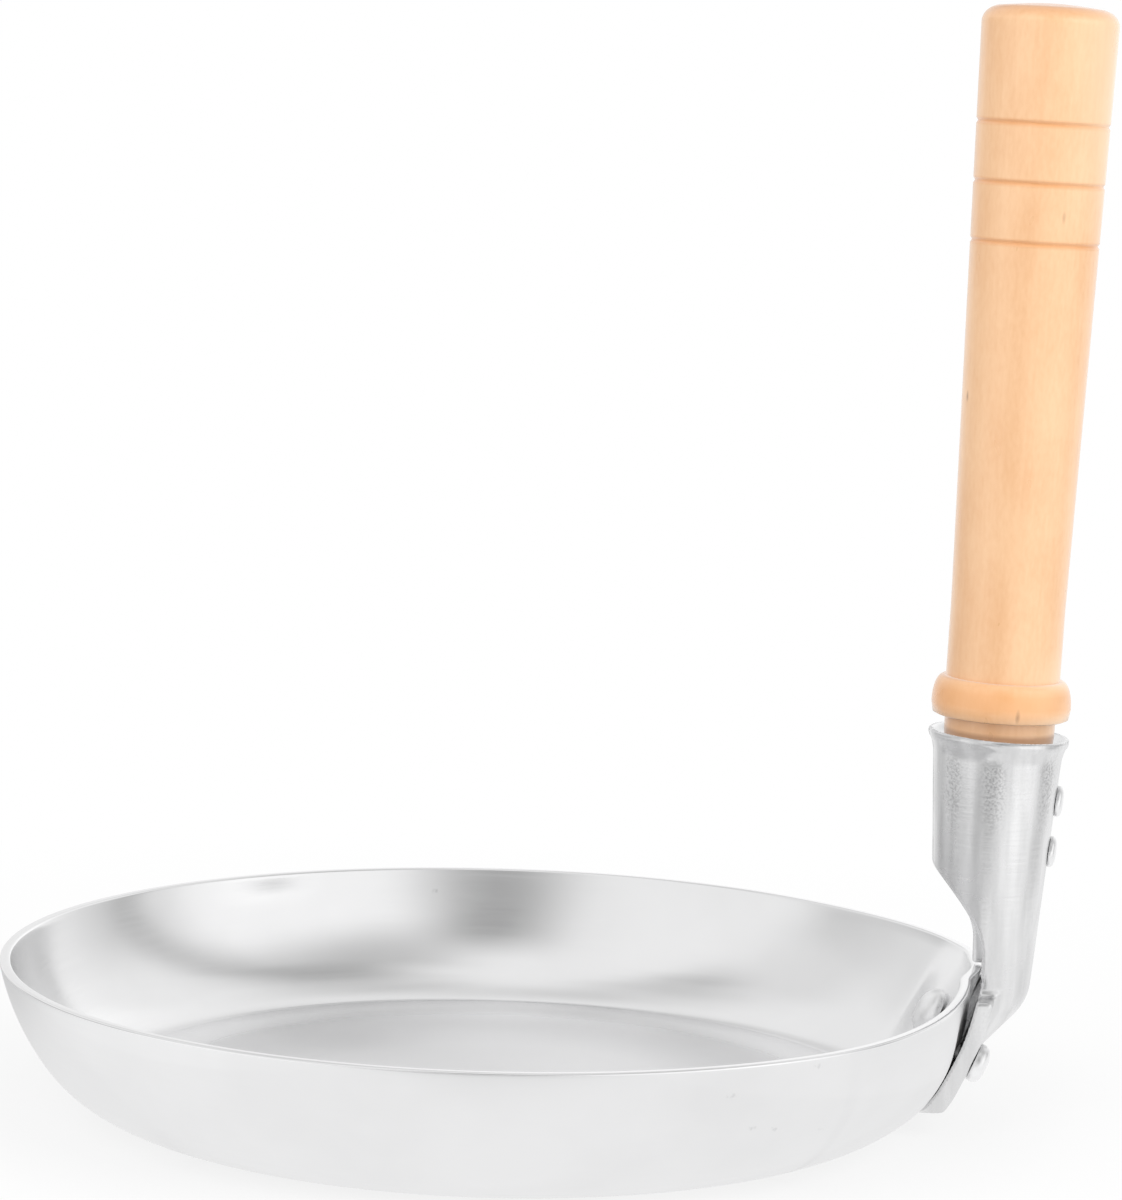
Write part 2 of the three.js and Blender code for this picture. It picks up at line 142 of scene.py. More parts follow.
# Strips of the socket that the press has hammered, by angle round its axis in degrees
HAMMERED_STRIPS = (-138, -97, -40)
HAMMERED_HALF_WIDTH = 4
HAMMERED_FADE = 10

# Rivets and nails; the far rivet is at +Y, the near one on the camera's side
FAR = 1
NEAR = -1
RIVET_OFFSET = 12.6
RIVET_HEIGHT = 13.9
RIVET_SHANK_RADIUS = 2
RIVET_WAIST_RADIUS = 1.2
RIVET_COLUMNS = 48
INNER_HEAD_RADIUS = 4.3
INNER_HEAD_HEIGHT = 2.4
INNER_HEAD_STEPS = 14
INNER_HEAD_GAPS = {FAR: 0.45, NEAR: 1.42}
OUTER_HEAD_GAPS = {FAR: 0.3, NEAR: 0.2}
OUTER_HEAD_TILTS = {FAR: 0.03, NEAR: 0.08}
OUTER_HEAD_STEPS = 12
OUTER_HEAD_RADIUS = 3.2
OUTER_HEAD_HEIGHT = 2.3
OUTER_HEAD_EDGE = 0.9
NAIL_DROPS = (11.3, 19.8)
NAIL_SHANK_RADIUS = 1.2
NAIL_DEPTH = 6
NAIL_HEAD_RADIUS = 2.6
NAIL_HEAD_HEIGHT = 1.2
NAIL_HEAD_EDGE = 0.45
NAIL_HEAD_GAP = 0.1
NAIL_HEAD_STEPS = 12
NAIL_COLUMNS = 40
HEAD_ROUNDNESS = 0.7
HEAD_CHAMFER = (0.1, 0.15)
FASTENER_SHARP_ANGLE = math.radians(50)

# Handle, along its own axis from the socket's lip
TENON_LENGTH = 22.3
NECK_RADIUS = 9.15
NECK_LENGTH = 2.75
BEAD_RADIUS = 11.55
BEAD_LENGTH = 6.5
BEAD_FOOT_SHARE = 0.12
BEAD_STRAIGHT_SHARE = 0.3
BEAD_ROUNDNESS = 0.75
GRIP_LENGTH = 110.95
GRIP_WAIST_RADIUS = 9.45
GRIP_END_RADIUS = 11.24
GRIP_WAIST_LENGTH = 12
END_ROUNDING = 3.4
END_DOME = 0.6
END_ALLOWANCE = 0.03
HANDLE_COLUMNS = 128
HANDLE_SHARP_ANGLE = math.radians(55)
GROOVE_FROM_END = 19.5
GROOVE_SPACING = 9.7
GROOVE_COUNT = 3
GROOVE_WIDTH = 0.9
GROOVE_DEPTH = 0.28

# Dark flecks in the wood, from the handle's axis at the lip, with their length
FLECKS = (
    (3.4, -10.4, 85.8, 1.0),
    (-9.5, -3.3, 55.7, 0.8),
    (1.6, -11.2, 4.4, 1.0),
)

# Small scuffs on the outside of the wall, and a nick inside, at places in the photo worked back
# onto the dish through the camera
SCUFFS = (
    (50.1, -65.3, 23.0),
    (37.1, -72.4, 19.7),
    (40.4, -67.6, 13.6),
    (44.0, -64.9, 13.0),
    (51.8, -57.8, 11.6),
)
NICKS = ((-12.6, 78.7, 20.5),)

# Tones of the plain metal: rivet and nail heads, a rivet's shank darkened as painted shade where it
# shows in the gaps, and the inside of the channel lightened as painted light against its shade
HEAD_LEVEL = 0.88
SHANK_PAINTED_SHADE_LEVEL = 0.2
CHANNEL_PAINTED_LIGHT_LEVEL = 0.92

# Colours of the wood, among them a painted highlight, painted shade on the neck and a painted shadow at
# the lip
WOOD_DEEP = (0.8, 0.455, 0.228, 1)
WOOD_LIGHT = (0.87, 0.54, 0.298, 1)
WOOD_PAINTED_HIGHLIGHT = (0.94, 0.71, 0.47, 1)
WOOD_IN_GROOVE = (0.72, 0.29, 0.07, 1)
WOOD_AT_END = (0.62, 0.26, 0.08, 1)
WOOD_ON_BEAD = (0.8, 0.38, 0.14, 1)
WOOD_NECK_PAINTED_SHADE = (0.66, 0.34, 0.15, 1)
WOOD_LIP_SHADOW = (0.3, 0.13, 0.06, 1)
WOOD_FLECK = (0.2, 0.08, 0.03, 1)

# Worked out from the sizes above
CORNER_RISE = CORNER_RADIUS * (1 - math.cos(CORNER_SWEEP))
UPPER_RADIUS = (WALL_HEIGHT - CORNER_RISE) / (math.cos(CORNER_SWEEP) - math.cos(RIM_SLOPE))
CORNER_END = RIM_RADIUS - UPPER_RADIUS * (math.sin(RIM_SLOPE) - math.sin(CORNER_SWEEP))
BASE_RADIUS = CORNER_END - CORNER_RADIUS * math.sin(CORNER_SWEEP)
RIM_TOP = WALL_HEIGHT + WALL_THICKNESS * math.cos(RIM_SLOPE) / 2 + RIM_ROUNDING * math.sin(RIM_SLOPE)
SOCKET_TOP = RIM_TOP + SOCKET_RISE
GRIP_START = NECK_LENGTH + BEAD_LENGTH
GRIP_END = GRIP_START + GRIP_LENGTH
CONE_ANGLE = math.atan(SOCKET_TAPER + math.tan(HANDLE_LEAN))
GROOVES = [GRIP_END - GROOVE_FROM_END - GROOVE_SPACING * i for i in range(GROOVE_COUNT)]

# Camera, at the photo's angle
CAMERA_PLACE = (0.00901, -0.69071, 0.16939)
CAMERA_PITCH = math.radians(6.938)
CAMERA_ROLL = math.radians(1.698)
CAMERA_LENS = 126
CAMERA_SENSOR = 36


def smooth(value, low, high):
    share = np.clip((value - low) / (high - low), 0, 1)
    return share * share * (3 - 2 * share)


def mix(low, high, share):
    return low + (high - low) * share


def smooth_max(a, b, reach):
    share = np.clip(0.5 + 0.5 * (a - b) / reach, 0, 1)
    return mix(b, a, share) + reach * share * (1 - share)


def smooth_min(a, b, reach):
    return -smooth_max(-a, -b, reach)


# Curves shared by the dish and the bracket

def wall_slope(z):
    height = np.clip(z, 0, WALL_HEIGHT)
    corner = np.arccos(np.clip(1 - height / CORNER_RADIUS, -1, 1))
    climb = math.cos(CORNER_SWEEP) - (height - CORNER_RISE) / UPPER_RADIUS
    return np.where(height <= CORNER_RISE, corner, np.arccos(np.clip(climb, -1, 1)))


def wall_point(slope, inward):
    in_corner = slope <= CORNER_SWEEP
    upper_run = UPPER_RADIUS * (np.sin(slope) - math.sin(CORNER_SWEEP))
    upper_rise = UPPER_RADIUS * (math.cos(CORNER_SWEEP) - np.cos(slope))
    radius = np.where(in_corner, BASE_RADIUS + CORNER_RADIUS * np.sin(slope), CORNER_END + upper_run)
    height = np.where(in_corner, CORNER_RADIUS * (1 - np.cos(slope)), CORNER_RISE + upper_rise)
    return radius - inward * np.sin(slope), height + inward * np.cos(slope)


def wall_radius(z):
    return wall_point(wall_slope(z), 0)[0]


def span(angle, start, full, hold, end):
    """Rises from 0 to 1 and falls back, along angles in degrees."""
    degrees = np.degrees(angle)
    return smooth(degrees, start, full) * (1 - smooth(degrees, hold, end))


def seat_depth(angle, z):
    foot = smooth(z, *SEAT_FOOT)
    near = SEAT_PRESS * foot + SEAT_TOP_PRESS * smooth(z, *SEAT_TOP_RISE)
    free = smooth(z, FAR_SEAT_EASES_FROM, WALL_HEIGHT)
    far = FAR_SEAT_PRESS * foot * mix(1, FAR_SEAT_FREE_SHARE, free)
    return mix(near, far, smooth(np.degrees(angle), *SEAT_SIDES))


def wall_dent(angle, z):
    rim_bend = RIM_DENT * span(-angle, *RIM_DENT_SPAN) - RIM_SWELL * span(angle, *RIM_SWELL_SPAN)
    seat = 1 - smooth(np.abs(np.degrees(angle)), *SEAT_EDGE)
    spread = np.where(angle > CREASE_ANGLE, CREASE_FADE_ANGLE, CREASE_OUTER_FADE_ANGLE)
    crease = CREASE_PRESS * (1 - smooth(np.abs(angle - CREASE_ANGLE), 0, spread))
    pressed = seat * seat_depth(angle, z) + crease * smooth(z, *CREASE_RISE)
    at_rim = rim_bend - seat * seat_depth(angle, WALL_HEIGHT) - crease
    rise = np.clip((z - RIM_BEND_FROM) / (WALL_HEIGHT - RIM_BEND_FROM), 0, 1)
    return pressed + at_rim * rise ** 2


def tongue_depth(angle, z):
    return np.minimum(seat_depth(angle, z), wall_dent(angle, z))


def axis_x(z):
    return RIM_RADIUS - AXIS_INSIDE_RIM + (z - RIM_TOP) * math.tan(HANDLE_LEAN)


def below_mouth(z, drops):
    return smooth(z, SOCKET_TOP - drops[0], SOCKET_TOP - drops[1])


def socket_radius(z):
    flare = (LIP_RADIUS - SOCKET_RADIUS) * smooth(z, SOCKET_TOP - LIP_LENGTH, SOCKET_TOP)
    bead = LIP_BEAD * below_mouth(z, LIP_BEAD_BELOW)
    return SOCKET_RADIUS - (SOCKET_TOP - z) * SOCKET_TAPER + flare + bead


# Meshes

def new_object(name, points, faces, place=None):
    mesh = bpy.data.meshes.new(name)
    corners = [tuple(point) for point in np.asarray(points) * MM]
    mesh.from_pydata(corners, [], [tuple(face) for face in faces])
    if place is not None:
        mesh.transform(place)
    mesh.validate()
    mesh.shade_smooth()
    shape = bpy.data.objects.new(name, mesh)
    bpy.context.scene.collection.objects.link(shape)
    return shape


def turned(name, outline, columns, place=None, crowding=0, press=None, wrap=None, tilt=0):
    """A shape turned about Z from an outline that starts and ends on the axis.

    Columns crowd toward angle 0, press moves points inward by angle and height, wrap bends
    the shape round a cylinder of that diameter along X, and tilt leans what is above 0.
    """
    outline = np.asarray(outline, dtype=float)
    even = np.arange(columns) * 2 * math.pi / columns
    even = np.where(even > math.pi, even - 2 * math.pi, even)
    angle = even - crowding * np.sin(even)
    middle = outline[1:-1]
    radius = np.repeat(middle[:, :1], columns, axis=1)
    height = np.repeat(middle[:, 1:], columns, axis=1)
    if press is not None:
        radius = radius - press(angle[None, :], height)
    if wrap is not None:
        height = height - (radius * np.sin(angle)) ** 2 / wrap
    if tilt:
        height = height + np.where(height > 0, tilt * radius * np.cos(angle), 0)
    rings = np.stack([radius * np.cos(angle), radius * np.sin(angle), height], axis=-1)
    points = [(0, 0, outline[0][1]), *rings.reshape(-1, 3), (0, 0, outline[-1][1])]
    faces = []
    last_ring = 1 + (len(middle) - 1) * columns
    for k in range(columns):
        after = (k + 1) % columns
        faces.append((0, 1 + after, 1 + k))
        for row in range(len(middle) - 1):
            low = 1 + row * columns
            high = low + columns
            faces.append((low + k, low + after, high + after, high + k))
        faces.append((last_ring + k, last_ring + after, len(points) - 1))
    return new_object(name, points, faces, place)


def domed_head(radius, height, underside, outward, steps, edge=0.0):
    """Outline of a head from its rim to its middle, above a straight edge if it has one."""
    outline = []
    if edge:
        chamfer_in, chamfer_up = HEAD_CHAMFER
        outline += [(radius - chamfer_in, underside), (radius, underside + outward * chamfer_up)]
    for i in range(steps):
        turn = math.pi / 2 * i / steps
        rise = edge + (height - edge) * math.sin(turn)
        outline.append((radius * math.cos(turn) ** HEAD_ROUNDNESS, underside + outward * rise))
    return outline + [(0, underside + outward * height)]


# Dish

def dish_outline():
    """Outline of the dish, and the row from which it is polished: the rim and the inside."""
    outline = [(0, 0), (20, 0), (40, 0), (54, 0), (BASE_RADIUS - 1, 0)]
    corner = np.linspace(0, CORNER_SWEEP, CORNER_STEPS)
    upper = np.linspace(CORNER_SWEEP, RIM_SLOPE, UPPER_STEPS)[1:]
    for slope in (*corner, *upper):
        outline.append(tuple(float(v) for v in wall_point(slope, 0)))
    polished_from = len(outline) + 1
    rim_x, rim_z = wall_point(RIM_SLOPE, WALL_THICKNESS / 2)
    rim_sin, rim_cos = math.sin(RIM_SLOPE), math.cos(RIM_SLOPE)
    for turn in np.linspace(0, math.pi, RIM_STEPS)[1:-1]:
        side = math.copysign(abs(math.cos(turn)) ** RIM_SQUARENESS, math.cos(turn))
        across = WALL_THICKNESS / 2 * side
        rise = math.sin(turn) ** RIM_SQUARENESS
        outline.append((
            float(rim_x) + across * rim_sin + RIM_ROUNDING * rise * rim_cos,
            float(rim_z) - across * rim_cos * (1 - rise) + RIM_ROUNDING * rise * rim_sin,
        ))
    for slope in np.linspace(RIM_SLOPE, FLOOR_CREASE_SLOPE, INNER_STEPS):
        outline.append(tuple(float(v) for v in wall_point(slope, WALL_THICKNESS)))
    crease = np.array(outline[-1])
    floor_edge = np.array([FLOOR_RADIUS, WALL_THICKNESS])
    for share in (0.02, 0.06, 0.15, 0.35, 0.6, 0.85):
        outline.append(tuple(mix(crease, floor_edge, share)))
    for radius in (FLOOR_RADIUS, FLOOR_RADIUS - 1.5, 44, 30, 15):
        outline.append((radius, WALL_THICKNESS))
    outline.append((0, WALL_THICKNESS))
    shrink = 1 - RIM_ALLOWANCE / RIM_RADIUS
    return [(radius * shrink, height) for radius, height in outline], polished_from


def bowl():
    outline, polished_from = dish_outline()
    shape = turned("bowl", outline, DISH_COLUMNS, None, BRACKET_SIDE_CROWDING, wall_dent)
    shape.data.materials.append(dish_metal(
        "bowl_outside", level=0.84, rough_low=0.34, rough_high=0.4,
        anisotropy=0.2, line_strength=0.05, floor_satin_and_painted_light=0, marks=SCUFFS,
    ))
    shape.data.materials.append(dish_metal(
        "bowl_inside", level=0.9, rough_low=0.15, rough_high=0.2,
        anisotropy=0.45, line_strength=0.03, floor_satin_and_painted_light=0.26, marks=NICKS,
    ))
    for face in shape.data.polygons:
        last_row = (max(face.vertices) - 1) // DISH_COLUMNS
        if last_row >= polished_from:
            face.material_index = 1
    return shape


# Rivets stand squarely on the wall, nails squarely on the back of the socket

def wall_frame(side):
    slope = float(wall_slope(RIVET_HEIGHT))
    radius = float(wall_radius(RIVET_HEIGHT))
    angle = side * math.asin(RIVET_OFFSET / radius)
    seat = radius - float(tongue_depth(angle, RIVET_HEIGHT))
    foot = Matrix.Translation((seat * MM, 0, RIVET_HEIGHT * MM))
    return Matrix.Rotation(angle, 4, "Z") @ foot @ Matrix.Rotation(math.pi - slope, 4, "Y")


def socket_frame(drop):
    z = SOCKET_TOP - drop
    back = Matrix.Translation(((axis_x(z) + float(socket_radius(z))) * MM, 0, z * MM))
    return back @ Matrix.Rotation(math.pi / 2 + CONE_ANGLE, 4, "Y")


def rivet(name, side):
    inner_underside = -WALL_THICKNESS - INNER_HEAD_GAPS[side]
    outer_underside = TONGUE_SHEET + CLEARANCE + OUTER_HEAD_GAPS[side]
    inner_head = (INNER_HEAD_RADIUS, INNER_HEAD_HEIGHT, inner_underside, -1, INNER_HEAD_STEPS)
    outer_head = (OUTER_HEAD_RADIUS, OUTER_HEAD_HEIGHT, outer_underside, 1, OUTER_HEAD_STEPS)
    outline = domed_head(*inner_head)[::-1]
    outline += [(RIVET_WAIST_RADIUS, inner_underside), (RIVET_WAIST_RADIUS, outer_underside)]
    outline += domed_head(*outer_head, OUTER_HEAD_EDGE)
    shape = turned(name, outline, RIVET_COLUMNS, wall_frame(side), tilt=OUTER_HEAD_TILTS[side])
    shape.data.set_sharp_from_angle(angle=FASTENER_SHARP_ANGLE)
    shape.data.materials.append(fastener_metal(name + "_metal", HEAD_LEVEL))
    # Painted shade: the shank is dark where it shows in the gaps beside the heads
    shape.data.materials.append(fastener_metal(name + "_shank", SHANK_PAINTED_SHADE_LEVEL))
    shank_start = (INNER_HEAD_STEPS + 1) * RIVET_COLUMNS
    for face in shape.data.polygons:
        if min(face.vertices) <= shank_start < max(face.vertices):
            face.material_index = 1
    return shape


def nail(name, drop):
    tip = -SOCKET_SHEET - NAIL_DEPTH
    head = (NAIL_HEAD_RADIUS, NAIL_HEAD_HEIGHT, NAIL_HEAD_GAP, 1, NAIL_HEAD_STEPS, NAIL_HEAD_EDGE)
    outline = [(0, tip), (NAIL_SHANK_RADIUS, tip + NAIL_SHANK_RADIUS)]
    outline += [(NAIL_SHANK_RADIUS, NAIL_HEAD_GAP), *domed_head(*head)]
    curve = 2 * float(socket_radius(SOCKET_TOP - drop))
    shape = turned(name, outline, NAIL_COLUMNS, socket_frame(drop), wrap=curve)
    shape.data.set_sharp_from_angle(angle=FASTENER_SHARP_ANGLE)
    shape.data.materials.append(fastener_metal(name + "_metal", HEAD_LEVEL))
    return shape


# Bracket, as distances to its faces that are joined and cut with small rounds

TOE_ANGLE = math.atan(TOE_SLOPE)
BEND_TOP = TOE_HEIGHT + TOE_BEND * math.tan((TOE_ANGLE - CONE_ANGLE) / 2) * math.cos(CONE_ANGLE)
BEND_X = axis_x(BEND_TOP) + float(socket_radius(BEND_TOP)) - TOE_BEND * math.cos(CONE_ANGLE)
BEND_Z = BEND_TOP + TOE_BEND * math.sin(CONE_ANGLE)


def back_line(z, inset):
    bend = TOE_BEND - inset
    cone = axis_x(z) + socket_radius(z) - inset / math.cos(CONE_ANGLE)
    arc = BEND_X + np.sqrt(np.maximum(bend ** 2 - (z - BEND_Z) ** 2, 0))
    low = BEND_Z - bend * math.sin(TOE_ANGLE)
    toe = BEND_X + bend * math.cos(TOE_ANGLE) - TOE_SLOPE * (low - z)
    return np.where(z > BEND_Z - bend * math.sin(CONE_ANGLE), cone, np.where(z > low, arc, toe))


def channel_distance(x, y, z, inset):
    seat = wall_radius(z) - seat_depth(0, z)
    middle = np.where(z < RIM_TOP, np.minimum(axis_x(z), seat), axis_x(z))
    half_x = np.maximum(back_line(z, inset) - middle, 0.05)
    half_y = mix(TOE_TIP_HALF_WIDTH, socket_radius(z), smooth(z, TOE_END, TOE_HEIGHT)) - inset
    across = (x - middle) / half_x
    along = y / half_y
    reach = np.sqrt(across ** 2 + along ** 2)
    steepness = np.sqrt((across / half_x) ** 2 + (along / half_y) ** 2)
    return reach * (reach - 1) / np.maximum(steepness, 1e-4) - 1e-3


def front_cut_distance(x, z):
    axis = axis_x(RIM_TOP)
    top = RIM_TOP + FRONT_CUT_RISE
    low = RIM_TOP + FRONT_CUT_STRAIGHT
    t = np.linspace(0, 1, 60)
    weights = ((1 - t) ** 3, 3 * t * (1 - t) ** 2, 3 * t ** 2 * (1 - t), t ** 3)
    curve_x = (
        axis - CHANNEL_EDGE_SETBACK,
        axis - CHANNEL_EDGE_SETBACK,
        axis - FRONT_CUT_REACH + FRONT_CUT_SLANT * math.cos(FRONT_CUT_ANGLE),
        axis - FRONT_CUT_REACH,
    )
    curve_z = (low, low + FRONT_CUT_EASE, top - FRONT_CUT_SLANT * math.sin(FRONT_CUT_ANGLE), top)
    edge_z = sum(w * v for w, v in zip(weights, curve_z))
    edge_x = sum(w * v for w, v in zip(weights, curve_x))
    edge = np.interp(z, edge_z, edge_x)
    lean = np.interp(z, edge_z, np.gradient(edge_x, edge_z))
    beside = (x - edge) / np.sqrt(1 + lean ** 2)
    return np.maximum(beside, np.maximum(z - top, RIM_TOP - z))


def bracket_distance(points):
    x, y, z = points[..., 0], points[..., 1], points[..., 2]
    angle = np.arctan2(y, x)
    level = z + MOUTH_TILT * (x - axis_x(z)) * below_mouth(z, MOUTH_TILT_BELOW)
    off_wall = np.hypot(x, y) - (wall_radius(z) + CLEARANCE - tongue_depth(angle, z))
    off_wall = off_wall * np.sin(np.maximum(wall_slope(z), LEAST_SLOPE))
    root = 1 - smooth(np.abs(y), TONGUE_ROOT_HALF_WIDTH, TONGUE_HALF_WIDTH)
    tongue = smooth_max(off_wall - TONGUE_SHEET, np.abs(y) - TONGUE_HALF_WIDTH, SHEET_ROUND)
    tongue = smooth_max(tongue, z - (TONGUE_TOP - TONGUE_ROOT_DROP * root), TOP_ROUND)
    tongue = smooth_max(tongue, TONGUE_BOTTOM - z, SHEET_ROUND)
    body = smooth_max(channel_distance(x, y, level, 0), TOE_END - z, TOE_ROUND)
    body = smooth_min(body, tongue, ROOT_FILLET)
    dish = np.maximum(off_wall, z - (RIM_TOP + CLEARANCE))
    body = smooth_max(body, -dish, SEAT_ROUND)
    sheet = mix(SOCKET_SHEET, LIP_SHEET, smooth(level, SOCKET_TOP - LIP_THINNING, SOCKET_TOP))
    hollow = np.maximum(channel_distance(x, y, level, sheet), TOE_END + HOLLOW_ABOVE_TOE - z)
    body = smooth_max(body, -hollow, SHEET_ROUND)
    body = smooth_max(body, -front_cut_distance(x, z), SHEET_ROUND)
    seam = np.maximum(np.abs(y) - SEAM_WIDTH / 2, x - axis_x(z))
    body = smooth_max(body, -seam, SEAM_ROUND)
    body = smooth_max(body, level - SOCKET_TOP, TOP_ROUND)
    holes = [(wall_frame(side), RIVET_SHANK_RADIUS) for side in (FAR, NEAR)]
    holes += [(socket_frame(drop), NAIL_SHANK_RADIUS) for drop in NAIL_DROPS]
    for place, radius in holes:
        start = np.array(place.translation) / MM
        along = np.array(place.col[2].to_3d())
        from_start = points - start
        depth = from_start @ along
        off_axis = np.linalg.norm(from_start - depth[..., None] * along, axis=-1)
        hole = np.maximum(off_axis - radius - CLEARANCE, np.abs(depth) - HOLE_REACH)
        body = np.maximum(body, -hole)
    return body


def untangled(field):
    """The field with no cell side that has just two opposite corners inside.

    Four faces would meet along an edge there, so the corner nearest to the surface changes sides.
    """
    corners = ((0, 0), (0, 1), (1, 1), (1, 0))
    for _ in range(UNTANGLE_ROUNDS):
        for axis in range(3):
            layers = np.moveaxis(field, axis, 0)
            _, rows, columns = layers.shape
            a, b, c, d = [layers[:, j:rows - 1 + j, k:columns - 1 + k] < 0 for j, k in corners]
            for layer, row, column in np.argwhere((a == c) & (b == d) & (a != b)):
                spots = [(layer, row + j, column + k) for j, k in corners]
                nearest = min(spots, key=lambda spot: abs(layers[spot]))
                layers[nearest] = -UNTANGLED_DISTANCE if layers[nearest] >= 0 else UNTANGLED_DISTANCE
    return field


def surface_of(distance, low, high, cell):
    """Quads over the zero surface of a distance, with corners moved onto it."""
    axes = [np.arange(a, b + cell, cell) for a, b in zip(low, high)]
    field = untangled(distance(np.stack(np.meshgrid(*axes, indexing="ij"), axis=-1)))
    inside = field < 0
    shape = np.array(field.shape)
    offsets = [np.array((i, j, k)) for i in (0, 1) for j in (0, 1) for k in (0, 1)]
    count = np.zeros(shape - 1, dtype=int)
    for i, j, k in offsets:
        count += inside[i:shape[0] - 1 + i, j:shape[1] - 1 + j, k:shape[2] - 1 + k]
    mixed = (count > 0) & (count < 8)
    cells = np.argwhere(mixed)
    index = np.full(mixed.shape, -1)
    index[mixed] = np.arange(len(cells))
    total = np.zeros((len(cells), 3))
    crossings = np.zeros(len(cells))
    for start in offsets:
        for end in offsets:
            if (end - start).sum() != 1 or (end - start).min() < 0:
                continue
            here = field[tuple((cells + start).T)]
            there = field[tuple((cells + end).T)]
            crosses = (here < 0) != (there < 0)
            share = np.where(crosses, here / np.where(crosses, here - there, 1), 0)
            total += np.where(crosses[:, None], start + share[:, None] * (end - start), 0)
            crossings += crosses
    points = np.array(low) + (cells + total / crossings[:, None]) * cell
    faces = []
    for axis in range(3):
        first, second = (axis + 1) % 3, (axis + 2) % 3
        here = np.moveaxis(inside, (axis, first, second), (0, 1, 2))
        change = here[:-1, 1:-1, 1:-1] != here[1:, 1:-1, 1:-1]
        edges = np.argwhere(change)
        leaving = here[:-1, 1:-1, 1:-1][change]
        lookup = np.moveaxis(index, (axis, first, second), (0, 1, 2))
        along, row, column = edges.T
        around = ((0, 0), (1, 0), (1, 1), (0, 1))
        quads = np.stack([lookup[along, row + j, column + k] for j, k in around], axis=1)
        quads[~leaving] = quads[~leaving][:, ::-1]
        faces.extend(quads.tolist())
    for _ in range(SETTLE_ROUNDS):
        value = distance(points)
        slope = np.stack([
            (distance(points + probe) - distance(points - probe)) / (2 * SLOPE_PROBE)
            for probe in np.eye(3) * SLOPE_PROBE
        ], axis=-1)
        step = value[:, None] * slope / np.maximum((slope ** 2).sum(axis=1), 0.05)[:, None]
        points = points - np.clip(step, -cell / 2, cell / 2)
    return points, faces


def bracket():
    margin_x, margin_y, margin_z = BRACKET_MARGIN
    outermost = axis_x(SOCKET_TOP) + LIP_RADIUS + margin_x
    low = (BRACKET_INNERMOST, -TONGUE_HALF_WIDTH - margin_y, TONGUE_BOTTOM - margin_z)
    high = (outermost, TONGUE_HALF_WIDTH + margin_y, SOCKET_TOP + margin_z)
    points, faces = surface_of(bracket_distance, low, high, BRACKET_CELL)
    shape = new_object("bracket", points, faces)
    shape.data.materials.append(bracket_metal("satin_aluminium"))
    # Painted light: the inside of the channel is a lighter copy of the metal, against the shade it lies
    # in
    shape.data.materials.append(fastener_metal("channel_inside_painted_light", CHANNEL_PAINTED_LIGHT_LEVEL))
    for face in shape.data.polygons:
        x, y, z = face.center / MM
        outward = Vector((x - axis_x(z), y, 0))
        if z > RIM_TOP and face.normal.dot(outward) < 0:
            face.material_index = 1
    return shape


# Handle

HANDLE_FOOT = Vector((axis_x(SOCKET_TOP) * MM, 0, SOCKET_TOP * MM))


def handle():
    outline = [(0, -TENON_LENGTH)]
    for height in np.linspace(-TENON_LENGTH, -TENON_LENGTH / 6, 8):
        outline.append((float(socket_radius(SOCKET_TOP + height)) - SOCKET_SHEET - CLEARANCE, height))
    outline += [(NECK_RADIUS, 0), (NECK_RADIUS, NECK_LENGTH / 2), (NECK_RADIUS, NECK_LENGTH)]
    bead_foot = BEAD_RADIUS - (BEAD_RADIUS - NECK_RADIUS) * BEAD_FOOT_SHARE
    outline += [(bead_foot - 0.5, NECK_LENGTH + 0.05), (bead_foot, NECK_LENGTH + 0.3)]
    for turn in np.linspace(0, math.pi / 2, 20):
        swell = max(math.cos(turn), 0) ** BEAD_ROUNDNESS
        height = NECK_LENGTH + BEAD_LENGTH * mix(BEAD_STRAIGHT_SHARE, 1, math.sin(turn))
        outline.append((mix(GRIP_WAIST_RADIUS, BEAD_RADIUS, swell), height))
    taper_start = GRIP_START + GRIP_WAIST_LENGTH
    taper_end = GRIP_END - END_ROUNDING
    heights = list(np.linspace(GRIP_START + 1, taper_end, 90))
    for middle in GROOVES:
        heights = [height for height in heights if abs(height - middle) > GROOVE_WIDTH]
        heights += list(middle + np.linspace(-1, 1, 13) * GROOVE_WIDTH * 0.75)
    for height in sorted(heights):
        tapered = max(height - taper_start, 0) / (taper_end - taper_start)
        radius = mix(GRIP_WAIST_RADIUS, GRIP_END_RADIUS, tapered)
        for middle in GROOVES:
            radius -= GROOVE_DEPTH * max(0, 1 - abs(height - middle) / (GROOVE_WIDTH / 2)) ** 0.8
        outline.append((radius, height))
    for turn in np.linspace(0, math.pi / 2, 14)[1:]:
        outline.append((
            GRIP_END_RADIUS - END_ROUNDING * (1 - math.cos(turn)),
            taper_end + (END_ROUNDING - END_DOME) * math.sin(turn),
        ))
    for share in (0.8, 0.55, 0.28, 0):
        drop = END_ALLOWANCE + END_DOME * share ** 2
        outline.append(((GRIP_END_RADIUS - END_ROUNDING) * share, GRIP_END - drop))
    place = Matrix.Translation(HANDLE_FOOT) @ Matrix.Rotation(HANDLE_LEAN, 4, "Y")
    shape = turned("handle", outline, HANDLE_COLUMNS, place)
    shape.data.set_sharp_from_angle(angle=HANDLE_SHARP_ANGLE)
    shape.data.materials.append(handle_wood("lacquered_wood"))
    return shape


# Materials

def add(tree, kind, inputs=None, **settings):
    node = tree.nodes.new(kind)
    for key, value in settings.items():
        setattr(node, key, value)
    for key, value in (inputs or {}).items():
        if isinstance(value, bpy.types.NodeSocket):
            tree.links.new(value, node.inputs[key])
        else:
            node.inputs[key].default_value = value
    return node


def math_node(tree, operation, *values):
    return add(tree, "ShaderNodeMath", dict(enumerate(values)), operation=operation).outputs[0]


